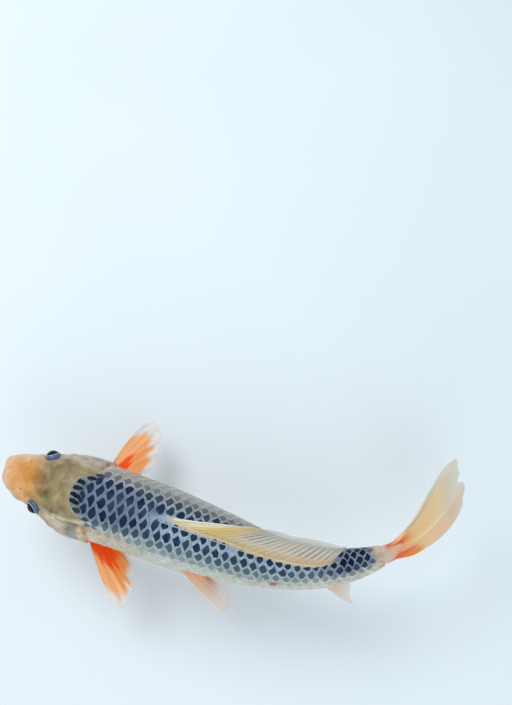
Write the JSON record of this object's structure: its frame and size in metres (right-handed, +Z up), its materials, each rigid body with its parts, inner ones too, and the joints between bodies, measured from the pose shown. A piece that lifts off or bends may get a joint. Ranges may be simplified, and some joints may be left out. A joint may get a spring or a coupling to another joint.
{
  "type": "koi carp",
  "caption": "Life-size still koi carp, swimming with its tail swept to one side, held over a plain base by short rods.",
  "frame": {"origin": "middle of the stand base's underside, under the fish's middle", "axes": "+Z up; the fish's snout points along -X and slightly +Y; its right side faces +Y"},
  "size_m": [0.3227, 0.1353, 0.1297],
  "materials": {
    "snout": "wet skin, satin",
    "head_skin": "wet skin, satin",
    "scaled_skin": "scaled, satin",
    "eye": "glossy",
    "pale_fin": "thin fin membrane",
    "red_fin": "thin fin membrane",
    "stand_board": "satin white",
    "stand_steel": "brushed"
  },
  "bodies": {
    "root": {"mouth": "snout", "head": "head_skin", "gill_cover_left": "head_skin", "gill_cover_right": "head_skin", "trunk": "scaled_skin", "tail_stalk": "scaled_skin", "eye_left": "eye", "eye_right": "eye", "barbel_upper_left": "snout", "barbel_upper_right": "snout", "barbel_lower_left": "snout", "barbel_lower_right": "snout", "dorsal_fin": "pale_fin", "anal_fin": "pale_fin", "tail_fin": "pale_fin", "pectoral_fin_left": "red_fin", "pectoral_fin_right": "red_fin", "pelvic_fin_left": "red_fin", "pelvic_fin_right": "red_fin", "stand_base": "stand_board", "stand_rod_front": "stand_steel", "stand_rod_rear": "stand_steel"}
  },
  "joints": []
}
